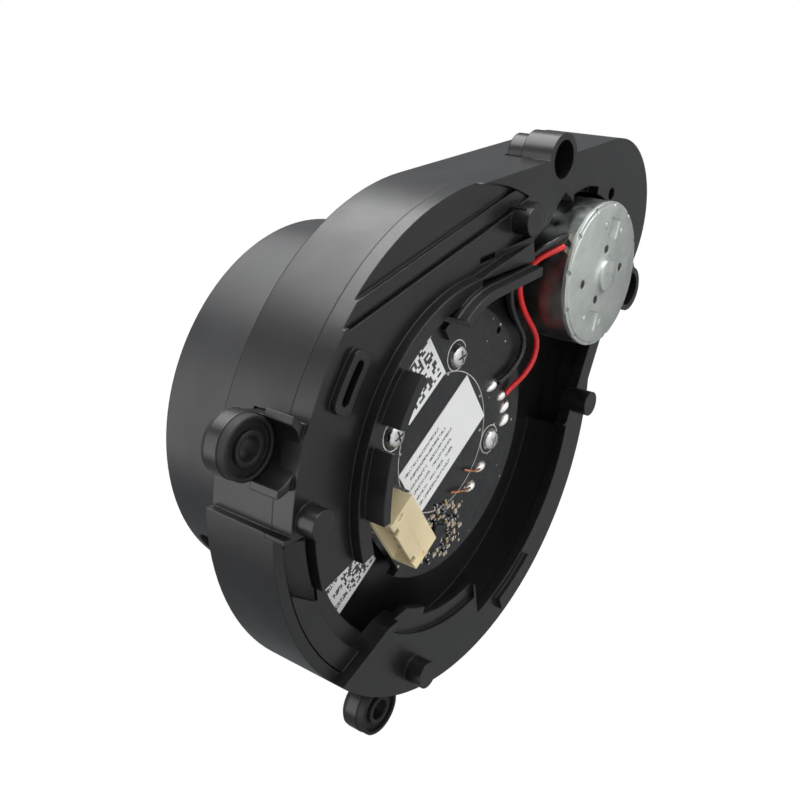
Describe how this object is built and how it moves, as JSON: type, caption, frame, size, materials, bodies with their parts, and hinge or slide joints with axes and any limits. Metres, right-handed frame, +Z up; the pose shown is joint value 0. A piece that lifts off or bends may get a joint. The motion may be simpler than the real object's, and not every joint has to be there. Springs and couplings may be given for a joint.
{
  "type": "lidar scanner module",
  "caption": "Lidar scanner module: a belt-driven turret on a moulded teardrop base, with a flat round motor and a round circuit board on the underside.",
  "frame": {"origin": "on the turret axis, in the plane of the base plate's underside", "axes": "+Z up through the turret along its axis, +X from the turret axis to the motor shaft"},
  "size_m": [0.106, 0.0792, 0.0394],
  "materials": {
    "frame_plastic": "moulded black, satin",
    "cover_plastic": "moulded black, satin",
    "drum_plastic": "moulded dark grey, satin",
    "window_plastic": "infrared-pass window, dark and glossy",
    "black_rubber": "soft black rubber",
    "steel": "bright steel",
    "plated_cap": "pale zinc plate",
    "motor_steel": "pale nickel plate",
    "brass": "turned brass",
    "copper": "enamelled copper wire",
    "magnet": "dark sintered magnet",
    "ferrite": "dark ferrite",
    "board_black": "black solder mask",
    "board_green": "green solder mask",
    "cream_plastic": "cream nylon",
    "chip_black": "black epoxy",
    "chip_tan": "ceramic chip body",
    "solder": "bright solder",
    "white_label": "white paper sticker",
    "red_insulation": "red vinyl",
    "black_insulation": "black vinyl",
    "optic_glass": "polished lens",
    "barrel_black": "black lens barrel",
    "bench_metal": "die cast",
    "weight_metal": "plain brass",
    "clear_emitter": "clear tinted epoxy"
  },
  "bodies": {
    "base": {"lower_frame": "frame_plastic", "upper_cover": "cover_plastic", "mount_grommets": "black_rubber", "cover_screws": "steel", "motor_can": "motor_steel", "motor_end_cap": "plated_cap", "motor_rivets": "steel", "motor_terminals": "brass", "motor_magnet": "magnet", "motor_bush": "brass", "motor_screws": "steel", "drive_belt": "black_rubber", "main_board": "board_black", "board_screws": "steel", "connector_shell": "cream_plastic", "connector_pins": "solder", "board_chips": "chip_black", "small_parts": "chip_tan", "solder_joints": "solder", "coil_leads": "copper", "product_label": "white_label", "code_label": "white_label", "side_label": "white_label", "motor_lead_red": "red_insulation", "motor_lead_black": "black_insulation", "index_sensor": "chip_black", "primary_core": "ferrite", "primary_coil": "copper", "data_emitter": "clear_emitter", "bearing_inner_race": "steel"},
    "motor_rotor": {"motor_shaft": "steel", "motor_armature": "copper", "motor_pulley": "brass"},
    "bearing_set": {"bearing_balls": "steel", "bearing_cage": "brass"},
    "turret": {"bearing_outer_race": "steel", "rotor_base": "drum_plastic", "rotor_board": "board_green", "secondary_core": "ferrite", "secondary_coil": "copper", "data_receiver": "clear_emitter", "turret_cover": "drum_plastic", "turret_window": "window_plastic", "turret_screws": "steel", "balance_weight": "weight_metal", "optics_bench": "bench_metal", "laser_barrel": "barrel_black", "laser_lens": "optic_glass", "receiver_barrel": "barrel_black", "receiver_lens": "optic_glass", "image_sensor": "chip_black"}
  },
  "joints": [
    {"name": "turret_spin", "type": "hinge", "parent": "base", "child": "turret", "pos_m": [0, 0, 0.0137], "axis": [0, 0, 1], "continuous": true},
    {"name": "motor_spin", "type": "hinge", "parent": "base", "child": "motor_rotor", "pos_m": [0.03985, 0, 0.002], "axis": [0, 0, 1], "continuous": true},
    {"name": "cage_spin", "type": "hinge", "parent": "base", "child": "bearing_set", "pos_m": [0, 0, 0.0137], "axis": [0, 0, 1], "continuous": true}
  ],
  "couplings": [
    {"joint": "motor_spin", "follows": "turret_spin", "ratio": 7.2375},
    {"joint": "cage_spin", "follows": "turret_spin", "ratio": 0.5673}
  ]
}
